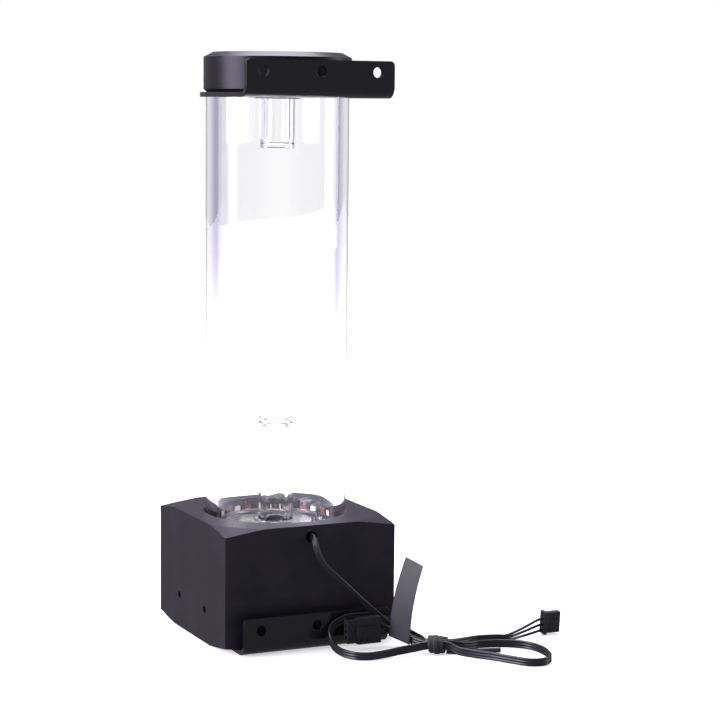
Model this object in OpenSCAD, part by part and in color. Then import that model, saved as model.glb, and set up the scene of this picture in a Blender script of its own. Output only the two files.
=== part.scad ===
// Pump reservoir for liquid cooling: a square base with a canned rotary pump,
// a clear tube with a riser and a drop tube, a screw cap and two folded brackets.
// Frame: origin at the middle of the base's underside, on the tube's axis.
// +Z runs up the tube, and the brackets stand on the -Y side.

/* [Base block] */
// Width and depth of the square base
base_w = 76.5; // [74:0.5:84]
// Height of the base
base_h = 51; // [51:0.5:60]
// Radius inside which the base's faces stay flat
flat_r = 43.4; // [41:0.2:46]
// How far the turned chamfer drops at the base's corners
corner_drop = 2.5; // [1.5:0.1:4]
// Radial room between the tube and the socket's lip
lip_gap = 0.6; // [0.4:0.1:1]
// Thickness of the socket's lip
lip_t = 1.8; // [1.2:0.1:3]
// Radius of the tapped side holes
side_hole_r = 1.65; // [1.2:0.05:2.2]
// Distance between the two tapped holes of one side
side_hole_pitch = 29.4; // [20:0.2:40]
// Height of the tapped side holes
side_hole_z = 13.8; // [8:0.2:18]
// Depth of the tapped side holes
side_hole_depth = 5.5; // [3:0.5:6]
// Radius of the cable hole
cable_hole_r = 2.5; // [2.2:0.1:2.8]
// Thickness of the base's walls round the pump
rim_t = 7.05; // [6.8:0.05:7.5]
// Depth of the tube's socket in the base
socket_depth = 8.5; // [8.2:0.1:9]
// Height between the pump's top face and the tube's foot
waterway_h = 15.5; // [15:0.1:17]

/* [Ports] */
// Radius of the two hose ports
port_r = 5.9; // [5:0.1:6.5]
// Depth of the hose ports
port_depth = 9; // [7:0.5:9]
// Distance between the two hose ports
port_pitch = 36; // [32:1:38]
// How far the hose ports lie below the tube's foot
port_drop = 7; // [6.8:0.1:7.4]
// Radius of the drillings behind the ports
gallery_r = 2.2; // [1.6:0.1:2.3]

/* [Tube] */
// Outer diameter of the tube
tube_d = 60; // [58:0.2:61]
// Wall thickness of the tube
tube_wall = 5; // [4:0.1:6]
// Height from the tube's foot to the shoulder that carries the upper bracket
tube_h = 183.5; // [120:0.5:220]
// Diameter of the turned neck above the shoulder
neck_d = 56; // [55:0.2:58]
// Height of the turned neck
neck_h = 13.5; // [10:0.5:14]

/* [Floor and inner tubes] */
// Thickness of the floor plate's flange
flange_t = 2.5; // [2:0.1:3]
// Height of the floor plate above its flange
spigot_h = 5; // [4.5:0.1:5]
// Outer diameter of the riser and the drop tube
pipe_d = 15; // [13:0.2:16]
// Bore of the riser and the drop tube
pipe_bore = 8.6; // [7:0.2:10]
// Length of the riser
riser_len = 46.8; // [30:1:80]
// Length of the drop tube
drop_len = 26; // [15:1:60]
// Depth of the counterbore at the free ends
pipe_step = 3.7; // [2:0.1:5]
// Number of drain holes on the bracket side of the floor plate
drain_count = 3; // [2:1:4]

/* [Cap and fill plug] */
// Outer diameter of the cap
cap_d = 62; // [61:0.2:64]
// Height of the cap above the bracket
cap_h = 16.6; // [16:0.1:20]
// Radius of the cap's flat top
cap_top_r = 27.2; // [24:0.2:29]
// Diameter of the boss that holds the drop tube
boss_d = 19; // [18:0.2:22]
// Radius of the fill plug's head
plug_head_r = 9.5; // [9:0.1:11]
// Thickness of the fill plug's head
plug_head_t = 2.2; // [1.8:0.1:2.6]
// Length of the fill plug's thread
plug_thread_len = 8; // [6:0.5:8.5]

/* [Brackets] */
// Thickness of the folded sheet
sheet_t = 2; // [1.5:0.1:2.5]
// Width of both brackets
bracket_w = 65; // [63:0.5:70]
// Outer radius of the fold
bend_r = 5; // [4:0.1:6]
// Gap between the base's rear face and the bracket's outer face
bracket_out = 6.55; // [5.5:0.05:10]
// Height of the upper bracket's upright leg
upper_leg_h = 15; // [14:0.5:18]
// Height of the lower bracket's upright leg
lower_leg_h = 15.5; // [14:0.5:18]
// Radius of the holes in the upright legs
leg_hole_r = 2.2; // [1.6:0.1:2.7]
// Distance from one leg hole to the next
leg_hole_pitch = 25; // [20:0.5:27]
// Height of the leg holes above the bracket's underside
leg_hole_z = 10.4; // [9:0.1:11]
// Corner radius of the upright legs
leg_corner_r = 2; // [1:0.5:4]

/* [Lighting ring] */
// Number of light packages on the strip
led_count = 14; // [8:1:16]
// Width of one light package
led_w = 3.5; // [2.5:0.1:4]
// Height of one light package
led_h = 3.3; // [2.5:0.1:3.6]
// Thickness of one light package
led_t = 1.2; // [0.8:0.1:1.3]
// Thickness of the strip
strip_t = 0.4; // [0.2:0.1:0.5]
// Height of the strip
strip_h = 5.6; // [4.5:0.1:6]

/* [Pump] */
// Corner radius of the pump housing
pump_corner_r = 5; // [4:0.5:8]
// How far the pump's screws stand in from the housing's sides
screw_inset = 5; // [4.6:0.1:5.4]
// Radius of the bearing ball
ball_r = 2.5; // [2:0.1:3]
// Number of impeller vanes
vane_count = 6; // [4:1:9]
// Radius of the impeller
impeller_r = 16.5; // [15:0.1:17]
// Number of stator poles
pole_count = 6; // [3:1:8]

/* [Hidden] */
$fn = 96;
fit = 0.05;
eps = 0.01;
half = base_w / 2;
tube_z0 = base_h - socket_depth;
shoulder_z = tube_z0 + tube_h;
cable_hole_z = tube_z0 + 3.6;
tube_r = tube_d / 2;
tube_in = tube_r - tube_wall;
neck_r = neck_d / 2;
lip_r = tube_r + lip_gap;
recess_r = lip_r + 2.4;
lip_z = base_h - lip_t;
seal_d = 1.64;
seal_room = 0.03;
seal_cut = seal_d + 2 * seal_room;
// The pump's pocket and the wet chamber above it
pocket_h = tube_z0 - waterway_h;
pocket_w = base_w - 2 * rim_t;
pump_w = pocket_w - 0.4;
screw_pitch = pump_w - 2 * screw_inset;
chamber_r = impeller_r + 2;
chamber_h = 6.5;
chamber_top = pocket_h + chamber_h;
pump_seal_r = chamber_r + 3.5;
web_t = 1.5;
sump_z = chamber_top + web_t;
port_z = tube_z0 - port_drop;
flange_z = tube_z0 - flange_t;
flange_r = tube_r - 0.5;
sump_r = tube_r - 8;
floor_seal_r = flange_r - 3.5;
spigot_r = tube_in - 0.15;
floor_top = tube_z0 + spigot_h;
eye_r = 6.5;
// The return drilling's upright stretch
well_x = 16.5;
well_y = 12;
well_angle = atan2(well_y, well_x);
return_z = tube_z0 + 1.3;
pipe_r = pipe_d / 2;
pipe_seat = 3;
drain_r = 2.4;
drain_ring_r = sump_r - drain_r - 2;
drain_mid = 247;
drain_step = 36;
step_out = spigot_r - 4.4;
step_in = pipe_r + 1.1;
// The cap
plate_top = shoulder_z + sheet_t;
cap_r = cap_d / 2;
cap_top = plate_top + cap_h;
cap_edge = 1.3;
cap_bevel = 2;
core_r = tube_in - 0.15;
core_z = shoulder_z + 1;
boss_z = shoulder_z - 0.4;
groove_top = shoulder_z + neck_h + 0.3;
drop_seat = 5.4;
seat_depth = 3.2;
seat_z = cap_top - seat_depth;
plug_seal_t = seat_depth - plug_head_t;
plug_pitch = 1.337;
// The brackets
rear_y = -half - bracket_out;
lower_reach = bracket_out + (base_w - pocket_w) / 2 - 0.3;
rim_screw_r = 1.4;
rim_screw_len = 8;
rim_screw_y = -(half + pocket_w / 2) / 2;
// The lighting ring
strip_r = recess_r - 0.15;
strip_z = tube_z0 + 0.9;
led_z = tube_z0 + 4;
led_step = 360 / led_count;
led_turn = -10.4;
// The pump
housing_z0 = 4;
lead_notch_w = 10;
rib_h = 1.2;
rib_t = 1.6;
rib_step = 5;
rib_len = pump_w - 2 * (screw_inset + 4);
can_sink = 4.5;
ball_z = pocket_h - can_sink;
can_wall = 1;
can_floor = 3;
ball_flat = 0.25;
dry_r = pump_w / 2 - 3.5;
dry_top = ball_z + 0.5;
stator_room = 12;
can_r = min(ball_z - housing_z0 - can_floor, dry_r - stator_room);
board_z = housing_z0 + 0.2;
board_t = 1.2;
board_in = 7.5;
chip_h = 1.4;
chip_w = 5;
chip_r = (dry_r + board_in - chip_w) / 2;
bay_z = board_z + board_t + chip_h;
coil_room = 3.1;
coil_h = dry_top - bay_z - 2 * coil_room;
stator_h = 0.6 * coil_h;
stator_z = bay_z + coil_room + (coil_h - stator_h) / 2;
pole_r = can_r + can_wall + 1;
coil_r = pole_r + 1.5;
yoke_r = dry_r - 3.2;
tip_w = 2 * pole_r * sin(18);
magnet_out = can_r - 0.9;
magnet_in = magnet_out - 3.8;
magnet_top = ball_z - 1;
cup_r = 4;
cup_top = pocket_h + 0.6;
disc_z = pocket_h + 0.6;
disc_t = 1.2;
vane_h = 2.8;
vane_t = 1.2;
vane_bow = 14;
shroud_t = 0.9;
hub_r = 6;
screw_r = 1.7;
screw_head_r = 3.1;
screw_len = pocket_h + 5;

// The flat cable: three cores side by side, laid on edge
cable_t = 1.2;
cable_w = 3.45;
// The tie, and the four lanes that the cable takes through it
tie_at = [43, -69];
tie_turn = -25.5;
tie_len = 8.4;
tie_w = 10;
tie_mid = 3.8;
lane = 1.5;
function in_tie(s, k) = [
    tie_at[0] + s * tie_len / 2 * cos(tie_turn) - k * lane * sin(tie_turn),
    tie_at[1] + s * tie_len / 2 * sin(tie_turn) + k * lane * cos(tie_turn), tie_mid];
// Out of the hole, down the rear face and into the tie
drop_route = [[0, -half, cable_hole_z], [0, -half - 1.75, cable_hole_z],
    [0, -half - 3.4, cable_hole_z - 1.5], [0.2, -42.8, cable_hole_z - 4.1],
    [1, -44, 38.8], [2.8, -45.3, 35.2], [6.4, -46.5, 31.6], [12.4, -47.5, 25.9], [19, -48, 19.6],
    [25, -48.5, 13.8], [29, -49.4, 10], [32.2, -51.4, 7.3], [35, -55.2, 5.2], [37.2, -60, 4.1],
    [38.6, -64, 3.8]];
// The loop on the right, out and back
right_route = [[51.6, -72, 3.1], [57, -71, 2.3], [62.5, -69.4, 1.9], [69, -70.4, 1.8], [76, -73.8, 1.8],
    [80.6, -78.8, 1.8], [82.2, -85.5, 1.8], [81.4, -93, 1.8], [78.4, -100.2, 1.8], [73.4, -103.8, 1.8],
    [68, -102.6, 1.8], [63.4, -96.4, 1.8], [58.4, -88.2, 1.8], [53, -81.4, 1.8], [49.2, -77.2, 2.2]];
// The loop on the left, which rises against the lower bracket
left_route = [[33.4, -68.2, 3.1], [27.4, -67.2, 2.3], [20, -67.8, 1.8], [12.6, -68.6, 1.8], [7.6, -66, 1.8],
    [5.2, -61, 1.8], [4.4, -55, 2.1], [4.2, -50.4, 3.4], [4.5, -47.4, 6.2], [6.2, -46.3, 9.6],
    [10.6, -46.1, 12], [17, -46.1, 12.7], [24, -46.2, 12.2], [30, -47.2, 10.2], [35, -50.8, 7.4],
    [38.2, -55.6, 5.4], [40, -60.8, 4.3]];
// The last stretch, up to where the cores part
last_route = [[53, -66.8, 3], [59, -63.2, 2.1], [66, -61.4, 1.8], [71.8, -62.3, 1.8], [76, -63.8, 1.8]];
cable_route = concat(drop_route, [in_tie(-1, 0.5), in_tie(1, 0.5)], right_route,
    [in_tie(1, -1.5), in_tie(-1, -1.5)], left_route, [in_tie(-1, 1.5), in_tie(1, 1.5)], last_route);
branch_route = [[29.2, -52.9, 7.2], [31.2, -55, 6.3], [33.4, -58.4, 5.2], [35.5, -62.2, 4.3],
    [37.2, -65.3, 3.9], in_tie(-1, -0.5), in_tie(0.4, -0.5)];
cable_end = cable_route[len(cable_route) - 1];
branch_end = branch_route[0];
core_gap = 0.6;
pin_step = 2.5;
tail_route = [[46.2, -71.2, 0.95], [49.5, -73, 0.85], [53, -74.6, 0.85], [58, -75.1, 0.85], [63, -76, 0.85],
    [68, -77.6, 0.85]];
// The bare flag on the branch
tag_foot = [32.6, -57, 7.6];
tag_h = 29.4;
tag_w = 10.5;
tag_t = 0.5;
tag_lean = 4.6;
tag_bow = 1.2;
tag_turn = -62;
tag_twist = 12;
// The connectors, placed by the middle of their rear faces
plug_rear = [98.5, -58.9, 5.2];
plug_turn = -1.5;
plug_lean = 5;
plug_w = 9.8;
plug_t = 4.3;
plug_len = 8;
plug_flange = 1.3;
plug_inset = 0.75;
plug_cavity = 3;
pin_drop = 0.8;
plug_up = [sin(plug_lean) * sin(plug_turn), -sin(plug_lean) * cos(plug_turn), cos(plug_lean)];
socket_rear = [25, -51.6, 8.2];
socket_w = 10.8;
socket_t = 4.4;
socket_len = 15.5;

// A plain ring with a flat top and bottom
module ring(r_out, r_in, h) {
    difference() {
        cylinder(r = r_out, h = h);
        translate([0, 0, -eps]) cylinder(r = r_in, h = h + 2 * eps);
    }
}

// A round seal of section diameter d whose section is centred at radius r
module seal_ring(r, d = seal_d) {
    rotate_extrude() translate([r, 0]) circle(d = d, $fn = 32);
}

// A square with round corners, centred, made exactly
module round_square(w, r) {
    square([w, w - 2 * r], center = true);
    square([w - 2 * r, w], center = true);
    for (x = [-1, 1], y = [-1, 1]) translate([x * (w / 2 - r), y * (w / 2 - r)]) circle(r = r, $fn = 48);
}

// Places a copy at each corner of a square
module at_corners(pitch) {
    for (x = [-1, 1], y = [-1, 1]) translate([x * pitch / 2, y * pitch / 2, 0]) children();
}

// A hole that runs along +Y from y0 to y1
module drill_y(x, z, r, y0, y1) {
    translate([x, y0, z]) rotate([-90, 0, 0]) cylinder(r = r, h = y1 - y0);
}

// The base's outer form: a square whose corners are turned off in a shallow cone
module base_form() {
    corner_r = half * sqrt(2);
    slope = corner_drop / (corner_r - flat_r);
    out_r = corner_r + 1;
    out_drop = slope * (out_r - flat_r);
    intersection() {
        linear_extrude(base_h) square(base_w, center = true);
        rotate_extrude($fn = 180) polygon([[0, 0], [flat_r, 0], [out_r, out_drop],
            [out_r, base_h - out_drop], [flat_r, base_h], [0, base_h]]);
    }
}

// The stepped bore from the tube's socket down to the impeller's chamber
module base_bore() {
    translate([0, 0, lip_z - 1]) cylinder(r = lip_r, h = lip_t + 2);
    translate([0, 0, tube_z0]) cylinder(r = recess_r, h = lip_z - tube_z0);
    translate([0, 0, flange_z]) cylinder(r = flange_r + 0.1, h = flange_t + eps);
    translate([0, 0, flange_z - seal_cut]) ring(floor_seal_r + seal_cut / 2, floor_seal_r - seal_cut / 2, seal_cut + eps);
    difference() {
        translate([0, 0, sump_z]) cylinder(r = sump_r, h = flange_z - sump_z + eps);
        return_pillar();
    }
    translate([0, 0, chamber_top - 1]) cylinder(r = eye_r, h = web_t + 2);
    translate([0, 0, pocket_h - 1]) cylinder(r = chamber_r, h = chamber_top - pocket_h + 1);
}

// The solid rib that the return drilling runs through
module return_pillar() {
    translate([well_x, well_y, sump_z]) cylinder(r = gallery_r + 1.8, h = flange_z - sump_z);
    translate([well_x - gallery_r - 1.8, well_y, sump_z])
        cube([2 * gallery_r + 3.6, sump_r, flange_z - sump_z]);
}

module base_block() {
    color([0.16, 0.16, 0.18]) difference() {
        base_form();
        base_bore();
        translate([0, 0, -1]) linear_extrude(pocket_h + 1) round_square(pocket_w, pump_corner_r + 0.2);
        // the pump's seal groove in the pocket's ceiling
        translate([0, 0, pocket_h - eps]) ring(pump_seal_r + seal_cut / 2, pump_seal_r - seal_cut / 2, seal_cut + eps);
        at_corners(screw_pitch) cylinder(r = screw_r + fit, h = screw_len + 1);
        // the hose ports and their drillings
        for (x = [-1, 1]) drill_y(x * port_pitch / 2, port_z, port_r, half - port_depth, half + 1);
        drill_y(-well_x, chamber_top - gallery_r + 0.4, gallery_r, 4, half - port_depth + eps);
        drill_y(well_x, port_z + 2, gallery_r, well_y, half - port_depth + eps);
        translate([well_x, well_y, port_z + 2]) cylinder(r = gallery_r, h = flange_z - port_z);
        // the cable's hole into the lighting recess
        drill_y(0, cable_hole_z, cable_hole_r, -half - 1, -recess_r + 1);
        side_holes();
        // the seat of the lower bracket's flat leg, and the notch for the pump's lead
        translate([-bracket_w / 2 - 0.2, -half - 1, -1])
            cube([bracket_w + 0.4, (base_w - pocket_w) / 2 + 1 + eps, sheet_t + 1.05]);
        translate([pocket_w / 2 - 1, -lead_notch_w / 2, -1]) cube([half, lead_notch_w, housing_z0 + 1.5]);
        for (x = [-1, 1]) translate([x * side_hole_pitch / 2, rim_screw_y, 0])
            cylinder(r = rim_screw_r + fit, h = rim_screw_len + 1);
    }
}

// The tapped pairs in the left and right faces
module side_holes() {
    for (a = [0, 180], s = [-1, 1]) rotate([0, 0, a])
        translate([half - side_hole_depth, s * side_hole_pitch / 2, side_hole_z])
            rotate([0, 90, 0]) cylinder(r = side_hole_r, h = side_hole_depth + 1, $fn = 48);
}

// The clear floor: a flange under the tube, a sealing spigot inside it and turned rings on top
module floor_plate() {
    color([0.85, 0.9, 0.95, 0.4]) difference() {
        rotate_extrude() polygon([[0, flange_z], [flange_r, flange_z], [flange_r, tube_z0],
            [spigot_r, tube_z0], [spigot_r, floor_top - 0.8], [spigot_r - 0.8, floor_top],
            [step_out, floor_top], [step_out - 1, floor_top - 1.2], [step_out - 4, floor_top - 1.2],
            [step_out - 5, floor_top - 0.4], [step_in + 0.8, floor_top - 0.4], [step_in, floor_top], [0, floor_top]]);
        translate([0, 0, floor_top - pipe_seat]) cylinder(r = pipe_r + fit, h = pipe_seat + 1);
        translate([0, 0, return_z]) cylinder(r = pipe_bore / 2, h = spigot_h);
        // the lower tube seal's groove
        translate([0, 0, tube_z0 + 1.4]) ring(spigot_r + 1, tube_in - seal_cut, seal_cut);
        // the return drilling: up from the base, then in to the middle
        translate([well_x, well_y, flange_z - 1]) cylinder(r = gallery_r - 0.5, h = return_z - flange_z + 1);
        rotate([0, 0, well_angle]) translate([0, 0, return_z]) rotate([0, 90, 0])
            cylinder(r = 1.2, h = norm([well_x, well_y]));
        for (i = [0 : drain_count - 1]) rotate([0, 0, drain_mid + (i - (drain_count - 1) / 2) * drain_step])
            translate([drain_ring_r, 0, flange_z - 1]) cylinder(r = drain_r, h = spigot_h + flange_t + 2);
    }
}

module floor_seal() {
    color([0.08, 0.08, 0.08]) translate([0, 0, flange_z - seal_cut / 2]) seal_ring(floor_seal_r);
}

module tube_seal_lower() {
    color([0.08, 0.08, 0.08]) translate([0, 0, tube_z0 + 1.4 + seal_cut / 2]) seal_ring(tube_in - seal_cut / 2);
}

// The clear tube with its turned neck, which leaves a shoulder for the upper bracket
module reservoir_tube() {
    color([0.85, 0.9, 0.95, 0.3]) translate([0, 0, tube_z0]) difference() {
        union() {
            cylinder(r = tube_r, h = shoulder_z - tube_z0, $fn = 128);
            cylinder(r = neck_r, h = shoulder_z - tube_z0 + neck_h, $fn = 128);
        }
        translate([0, 0, -1]) cylinder(r = tube_in, h = shoulder_z - tube_z0 + neck_h + 2, $fn = 128);
    }
}

// A clear pipe with a flared foot and a counterbored free end at z = len
module step_pipe(len) {
    lip = 1.9;
    flare = 1.3;
    rotate_extrude() polygon([[pipe_bore / 2, flare], [pipe_bore / 2 + flare, 0], [pipe_r, 0], [pipe_r, len - lip - 0.3],
        [pipe_r - 0.3, len - lip], [pipe_r, len - lip + 0.3], [pipe_r, len - 0.3], [pipe_r - 0.3, len],
        [pipe_r - 1.2, len], [pipe_r - 1.2, len - pipe_step], [pipe_bore / 2, len - pipe_step]]);
}

module riser_tube() {
    color([0.85, 0.9, 0.95, 0.4]) translate([0, 0, floor_top - pipe_seat]) step_pipe(riser_len);
}

module drop_tube() {
    color([0.85, 0.9, 0.95, 0.4]) translate([0, 0, boss_z + drop_seat]) mirror([0, 0, 1]) step_pipe(drop_len);
}

module led_strip() {
    color([0.1, 0.1, 0.11]) translate([0, 0, strip_z]) ring(strip_r, strip_r - strip_t, strip_h);
}

module led_packages() {
    color([0.95, 0.95, 0.9]) for (i = [0 : led_count - 1]) rotate([0, 0, led_turn + i * led_step])
        translate([-led_w / 2, strip_r - strip_t - led_t - 0.1, led_z - led_h / 2]) cube([led_w, led_t, led_h]);
}

module led_pads() {
    color([0.8, 0.45, 0.25]) for (i = [0 : led_count - 1]) rotate([0, 0, led_turn + (i + 0.5) * led_step])
        translate([-led_w / 2, strip_r - strip_t - 0.25, led_z - led_h / 2]) cube([led_w, 0.15, led_h]);
}

// The turned cap: a blind groove takes the tube's neck, and a boss holds the drop tube
module cap() {
    color([0.12, 0.12, 0.14]) difference() {
        rotate_extrude($fn = 128) polygon([[0, boss_z], [boss_d / 2, boss_z], [boss_d / 2, core_z],
            [core_r, core_z], [core_r, plate_top],
            [cap_r - cap_edge, plate_top], [cap_r, plate_top + cap_edge], [cap_r, cap_top - cap_bevel],
            [cap_top_r, cap_top], [0, cap_top]]);
        translate([0, 0, plate_top - 1]) ring(neck_r + 0.08, core_r, groove_top - plate_top + 1);
        translate([0, 0, groove_top - 6]) ring(core_r + 1, tube_in - seal_cut, seal_cut);
        translate([0, 0, seat_z]) cylinder(r = plug_head_r + 0.4, h = seat_depth + 1);
        translate([0, 0, boss_z - 1]) cylinder(r = port_r, h = cap_top - boss_z + 2);
        translate([0, 0, boss_z - 1]) cylinder(r = pipe_r + fit, h = drop_seat + 1);
    }
}

module tube_seal_upper() {
    color([0.08, 0.08, 0.08]) translate([0, 0, groove_top - 6 + seal_cut / 2]) seal_ring(tube_in - seal_cut / 2);
}

// The fill plug: a coin-slotted head flush with the cap and a shank in the threaded hole
module fill_plug() {
    color([0.15, 0.15, 0.17]) difference() {
        union() {
            translate([0, 0, cap_top - plug_head_t]) cylinder(r = plug_head_r, h = plug_head_t - 0.1);
            translate([0, 0, seat_z - plug_thread_len]) cylinder(r = port_r - fit, h = plug_thread_len + plug_seal_t + eps);
        }
        translate([-plug_head_r + 2, -0.9, cap_top - 1.4]) cube([2 * plug_head_r - 4, 1.8, 2]);
        translate([0, 0, seat_z - plug_thread_len - 1]) cylinder(r = port_r - 2.2, h = plug_thread_len - 1);
    }
}

module fill_plug_seal() {
    color([0.08, 0.08, 0.08]) translate([0, 0, seat_z + plug_seal_t / 2])
        seal_ring(port_r + 0.12 + plug_seal_t / 2, plug_seal_t - 2 * seal_room);
}

// The section of a folded sheet: an upright of height h, a bend and a flat leg of depth d
module fold_section(h, d) {
    translate([0, bend_r]) square([sheet_t, h - bend_r]);
    translate([bend_r, 0]) square([d - bend_r, sheet_t]);
    intersection() {
        translate([bend_r, bend_r]) difference() {
            circle(r = bend_r, $fn = 64);
            circle(r = bend_r - sheet_t, $fn = 64);
        }
        square([bend_r, bend_r]);
    }
}

// A folded strip of width w along X, with its outer face at y = 0 and its underside at z = 0
module folded_strip(h, d) {
    difference() {
        intersection() {
            translate([-bracket_w / 2, 0, 0]) rotate([90, 0, 90]) linear_extrude(bracket_w) fold_section(h, d);
            translate([0, d + 1, 0]) rotate([90, 0, 0]) linear_extrude(d + 2) leg_outline(h);
        }
        for (i = [-1 : 1]) drill_y(i * leg_hole_pitch, leg_hole_z, leg_hole_r, -1, sheet_t + 1);
    }
}

// The upright's front outline, with its two top corners rounded
module leg_outline(h) {
    r = leg_corner_r;
    translate([-bracket_w / 2, -1]) square([bracket_w, h + 1 - r]);
    translate([r - bracket_w / 2, -1]) square([bracket_w - 2 * r, h + 1]);
    for (s = [-1, 1]) translate([s * (bracket_w / 2 - r), h - r]) circle(r = r, $fn = 48);
}

// The upper bracket: the flat leg runs to the tube's middle and ends in a half round
module upper_bracket() {
    color([0.1, 0.1, 0.12]) difference() {
        union() {
            translate([0, rear_y, shoulder_z]) folded_strip(upper_leg_h, -rear_y);
            translate([0, 0, shoulder_z]) cylinder(r = bracket_w / 2, h = sheet_t, $fn = 128);
        }
        translate([0, 0, shoulder_z - 1]) cylinder(r = neck_r + 0.1, h = sheet_t + 2, $fn = 128);
    }
}

module lower_bracket() {
    color([0.1, 0.1, 0.12]) difference() {
        translate([0, rear_y, 0]) folded_strip(lower_leg_h, lower_reach);
        for (x = [-1, 1]) translate([x * side_hole_pitch / 2, rim_screw_y, 0]) {
            translate([0, 0, -1]) cylinder(r = rim_screw_r + 0.2, h = sheet_t + 2);
            translate([0, 0, -eps]) cylinder(r1 = 2.85, r2 = 1.45, h = 1.4);
        }
    }
}

module lower_bracket_screws() {
    color([0.2, 0.2, 0.2]) for (x = [-1, 1]) translate([x * side_hole_pitch / 2, rim_screw_y, 0.05]) difference() {
        union() {
            cylinder(r1 = 2.75, r2 = 1.35, h = 1.4);
            cylinder(r = rim_screw_r, h = rim_screw_len);
        }
        translate([0, 0, -eps]) cylinder(r = 0.9, h = 0.8, $fn = 6);
    }
}

// The pump's body: a dry bay below, and a spherical wet can with the bearing's post in it
module pump_housing() {
    color([0.13, 0.13, 0.14]) union() {
        difference() {
            translate([0, 0, housing_z0]) linear_extrude(pocket_h - housing_z0) round_square(pump_w, pump_corner_r);
            difference() {
                translate([0, 0, housing_z0 - 1]) cylinder(r = dry_r, h = dry_top - housing_z0 + 1);
                translate([0, 0, ball_z]) sphere(r = can_r + can_wall);
            }
            translate([0, 0, ball_z]) sphere(r = can_r);
            translate([0, 0, ball_z]) cylinder(r = can_r, h = pocket_h);
            at_corners(screw_pitch) translate([0, 0, housing_z0 - 1]) cylinder(r = screw_r + 0.2, h = pocket_h);
        }
        translate([0, 0, ball_z - can_r - can_wall / 2])
            cylinder(r1 = 3.4, r2 = 1.5, h = can_r + can_wall / 2 - ball_r + ball_flat);
    }
}

// The pump's cover, with cooling ribs under it
module pump_cover() {
    color([0.5, 0.5, 0.52]) difference() {
        union() {
            translate([0, 0, rib_h]) linear_extrude(housing_z0 - rib_h) round_square(pump_w, pump_corner_r);
            for (i = [-4 : 4]) translate([i * rib_step - rib_t / 2, -rib_len / 2, 0])
                cube([rib_t, rib_len, rib_h + eps]);
            cylinder(r = 9, h = rib_h + eps);
            at_corners(screw_pitch) cylinder(r = 4.4, h = rib_h + eps);
        }
        at_corners(screw_pitch) {
            cylinder(r = screw_r + 0.2, h = housing_z0 + 1);
            translate([0, 0, -1]) cylinder(r = screw_head_r + 0.2, h = rib_h + 1);
        }
    }
}

module pump_screws() {
    color([0.7, 0.7, 0.72]) at_corners(screw_pitch) translate([0, 0, 0.1]) difference() {
        union() {
            cylinder(r = screw_head_r, h = rib_h - 0.1);
            cylinder(r = screw_r, h = screw_len - 1);
        }
        translate([0, 0, -eps]) cylinder(r = 1.3, h = 0.8, $fn = 6);
    }
}

module pump_seal() {
    color([0.08, 0.08, 0.08]) translate([0, 0, pocket_h + seal_cut / 2]) seal_ring(pump_seal_r);
}

// The drive board: a ring round the can's foot with its chips
module pump_board() {
    color([0.1, 0.35, 0.2]) translate([0, 0, board_z]) union() {
        ring(dry_r - 0.3, board_in, board_t);
        for (i = [0 : 5]) rotate([0, 0, i * 60])
            translate([chip_r, -chip_w / 2, board_t - eps]) cube([chip_w, chip_w, chip_h]);
    }
}

// The laminated stator: an outer ring and poles that point at the can
module stator_core() {
    color([0.45, 0.45, 0.48]) translate([0, 0, stator_z]) difference() {
        union() {
            ring(dry_r - 0.2, yoke_r, stator_h);
            for (i = [0 : pole_count - 1]) rotate([0, 0, i * 360 / pole_count]) {
                translate([pole_r, -stator_h / 2, 0]) cube([yoke_r + 0.2 - pole_r, stator_h, stator_h]);
                translate([pole_r, -tip_w / 2, 0]) cube([1.2, tip_w, stator_h]);
            }
        }
        translate([0, 0, -1]) cylinder(r = pole_r - 0.1, h = stator_h + 2);
    }
}

// One wound coil round each pole
module stator_coils() {
    color([0.72, 0.42, 0.2]) for (i = [0 : pole_count - 1]) rotate([0, 0, i * 360 / pole_count])
        translate([coil_r, 0, stator_z + stator_h / 2]) difference() {
            translate([0, -coil_h / 2, -coil_h / 2]) cube([yoke_r - coil_r - 0.9, coil_h, coil_h]);
            translate([-1, -stator_h / 2 - 0.15, -stator_h / 2 - 0.15])
                cube([dry_r, stator_h + 0.3, stator_h + 0.3]);
        }
}

module bearing_ball() {
    color([0.95, 0.95, 0.92]) translate([0, 0, ball_z]) difference() {
        sphere(r = ball_r);
        translate([0, 0, -ball_r - 1]) cylinder(r = ball_r, h = 1 + ball_flat);
    }
}

module bearing_cup() {
    color([0.3, 0.3, 0.32]) difference() {
        translate([0, 0, ball_z + 0.4]) cylinder(r = cup_r, h = cup_top - ball_z - 0.4);
        translate([0, 0, ball_z]) sphere(r = ball_r + fit);
    }
}

// The bowl-shaped ring magnet, which runs inside the can
module rotor_magnet() {
    color([0.25, 0.25, 0.27]) difference() {
        translate([0, 0, ball_z]) sphere(r = magnet_out);
        translate([0, 0, ball_z]) sphere(r = magnet_in);
        translate([0, 0, magnet_top]) cylinder(r = can_r + 1, h = can_r * 2);
        translate([0, 0, ball_z - can_r]) cylinder(r = 6, h = can_r);
    }
}

// One vane in plan, a slice of a thin ring that leans back from the direction of turn
module vane_plan() {
    intersection() {
        translate([vane_bow / 2, -vane_bow]) difference() {
            circle(r = vane_bow + vane_t / 2, $fn = 96);
            circle(r = vane_bow - vane_t / 2, $fn = 96);
        }
        difference() {
            circle(r = impeller_r - 0.4);
            circle(r = hub_r + 1);
        }
        translate([0, -4]) square([impeller_r, impeller_r]);
    }
}

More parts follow.
